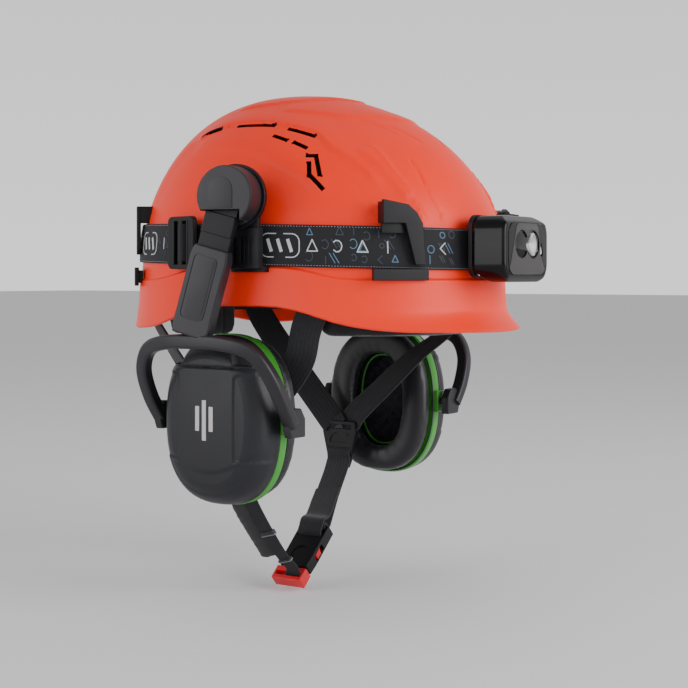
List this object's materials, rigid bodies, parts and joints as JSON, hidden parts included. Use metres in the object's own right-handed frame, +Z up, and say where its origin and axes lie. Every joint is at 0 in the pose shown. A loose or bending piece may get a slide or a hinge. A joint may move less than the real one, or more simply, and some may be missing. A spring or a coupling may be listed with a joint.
{
  "type": "forestry helmet",
  "caption": "Vented climbing-style safety helmet with swing-away ear muffs, a tilting headlamp on an elastic strap, an adjustable headband and a buckled chin strap.",
  "frame": {"origin": "middle of the head opening at the brow plane, in the frontal plane through the ear cup pivots", "axes": "+Z up towards the crown, -Y towards the front, -X towards the wearer's right"},
  "size_m": [0.2852, 0.3001, 0.3454],
  "materials": {
    "orange_abs": "satin",
    "liner_foam": "matte",
    "black_nylon": "satin",
    "pad_fabric": "matte",
    "soft_touch_rubber": "matte",
    "pin_steel": "brushed",
    "black_plastic": "satin",
    "elastic_webbing": "woven",
    "lamp_face": "satin",
    "reflector": "polished",
    "battery_wrap": "gloss",
    "circuit_board": "satin",
    "arm_plastic": "satin",
    "cup_plastic": "fine texture",
    "green_plastic": "satin",
    "acoustic_foam": "open cell foam",
    "cushion_leatherette": "soft",
    "harness_webbing": "woven",
    "keeper_thread": "woven",
    "red_plastic": "satin"
  },
  "bodies": {
    "helmet": {"shell": "orange_abs", "impact_liner": "liner_foam", "headband": "black_nylon", "strap_anchors": "black_nylon", "right_strap_divider": "black_nylon", "left_strap_divider": "black_nylon", "brow_pad": "pad_fabric", "crown_pads": "pad_fabric", "lamp_tilt_pin": "pin_steel", "right_hub_axle": "pin_steel", "left_hub_axle": "pin_steel", "front_lamp_clips": "black_plastic", "rear_lamp_clips": "black_plastic", "lamp_strap_adjuster": "black_plastic", "lamp_bracket": "black_plastic", "lamp_strap": "elastic_webbing", "right_muff_adapter": "arm_plastic", "left_muff_adapter": "arm_plastic", "right_front_strap": "harness_webbing", "left_front_strap": "harness_webbing", "right_rear_strap": "harness_webbing", "left_rear_strap": "harness_webbing", "right_chin_strap": "harness_webbing", "left_chin_strap": "harness_webbing", "chin_pad": "pad_fabric", "strap_keepers": "keeper_thread", "buckle_fork": "red_plastic", "buckle_socket": "black_nylon"},
    "nape_cradle": {"nape_cradle": "black_nylon", "nape_pad": "pad_fabric"},
    "size_knob": {"size_knob": "soft_touch_rubber", "knob_pinion": "pin_steel"},
    "lamp": {"lamp_housing": "black_plastic", "lamp_front_cover": "lamp_face", "lamp_reflectors": "reflector", "lamp_battery": "battery_wrap", "lamp_circuit_board": "circuit_board"},
    "lamp_button": {"lamp_button": "soft_touch_rubber"},
    "front_wing": {"front_wing": "red_plastic"},
    "rear_wing": {"rear_wing": "red_plastic"},
    "right_hub": {"right_hub_cap": "arm_plastic", "right_flip_pin": "pin_steel"},
    "right_blade": {"right_arm_blade": "arm_plastic"},
    "right_yoke": {"right_arm_yoke": "arm_plastic"},
    "right_cup": {"right_cup_ring": "green_plastic", "right_cup_shell": "cup_plastic", "right_cup_foam": "acoustic_foam", "right_cushion": "cushion_leatherette"},
    "left_hub": {"left_hub_cap": "arm_plastic", "left_flip_pin": "pin_steel"},
    "left_blade": {"left_arm_blade": "arm_plastic"},
    "left_yoke": {"left_arm_yoke": "arm_plastic"},
    "left_cup": {"left_cup_ring": "green_plastic", "left_cup_shell": "cup_plastic", "left_cup_foam": "acoustic_foam", "left_cushion": "cushion_leatherette"}
  },
  "joints": [
    {"name": "nape_slide", "type": "slide", "parent": "helmet", "child": "nape_cradle", "axis": [0, -1, 0], "range_m": [0, 0.012]},
    {"name": "size_knob_turn", "type": "hinge", "parent": "nape_cradle", "child": "size_knob", "pos_m": [0, 0.12, -0.028], "axis": [0, 1, 0], "range_deg": [0, 150]},
    {"name": "lamp_tilt", "type": "hinge", "parent": "helmet", "child": "lamp", "pos_m": [0, -0.1475, 0.0015], "axis": [1, 0, 0], "range_deg": [0, 45]},
    {"name": "lamp_button_press", "type": "slide", "parent": "lamp", "child": "lamp_button", "axis": [0, 0, -1], "range_m": [0, 0.001], "stiffness_N_per_m": 600},
    {"name": "front_wing_squeeze", "type": "hinge", "parent": "helmet", "child": "front_wing", "pos_m": [-0.02222, -0.0059, -0.20639], "axis": [-0.6691, 0, 0.7431], "range_deg": [0, 5], "stiffness_Nm_per_rad": 0.4},
    {"name": "rear_wing_squeeze", "type": "hinge", "parent": "helmet", "child": "rear_wing", "pos_m": [-0.02222, 0.0099, -0.20639], "axis": [0.6691, 0, -0.7431], "range_deg": [0, 5], "stiffness_Nm_per_rad": 0.4},
    {"name": "right_muff_swing", "type": "hinge", "parent": "helmet", "child": "right_hub", "pos_m": [-0.135, -0.0243, 0.0506], "axis": [0.9781, 0.2079, 0], "range_deg": [-3, 12]},
    {"name": "right_muff_flip", "type": "hinge", "parent": "right_hub", "child": "right_blade", "pos_m": [-0.1278, -0.0197, 0.0446], "axis": [-0.2079, 0.9781, 0], "range_deg": [0, 30]},
    {"name": "right_height_slide", "type": "slide", "parent": "right_blade", "child": "right_yoke", "axis": [-0.095, 0.2444, -0.965], "range_m": [-0.008, 0.015]},
    {"name": "right_cup_tilt", "type": "hinge", "parent": "right_yoke", "child": "right_cup", "pos_m": [-0.097, 0, -0.094], "axis": [0, 1, 0], "range_deg": [-6, 6]},
    {"name": "left_muff_swing", "type": "hinge", "parent": "helmet", "child": "left_hub", "pos_m": [0.135, -0.0243, 0.0506], "axis": [0.9781, -0.2079, 0], "range_deg": [-3, 12]},
    {"name": "left_muff_flip", "type": "hinge", "parent": "left_hub", "child": "left_blade", "pos_m": [0.1278, -0.0197, 0.0446], "axis": [-0.2079, -0.9781, 0], "range_deg": [0, 30]},
    {"name": "left_height_slide", "type": "slide", "parent": "left_blade", "child": "left_yoke", "axis": [0.095, 0.2444, -0.965], "range_m": [-0.008, 0.015]},
    {"name": "left_cup_tilt", "type": "hinge", "parent": "left_yoke", "child": "left_cup", "pos_m": [0.097, 0, -0.094], "axis": [0, 1, 0], "range_deg": [-6, 6]}
  ],
  "couplings": [
    {"joint": "size_knob_turn", "follows": "nape_slide", "rad_per_m": 200},
    {"joint": "front_wing_squeeze", "follows": "rear_wing_squeeze", "ratio": 1}
  ]
}
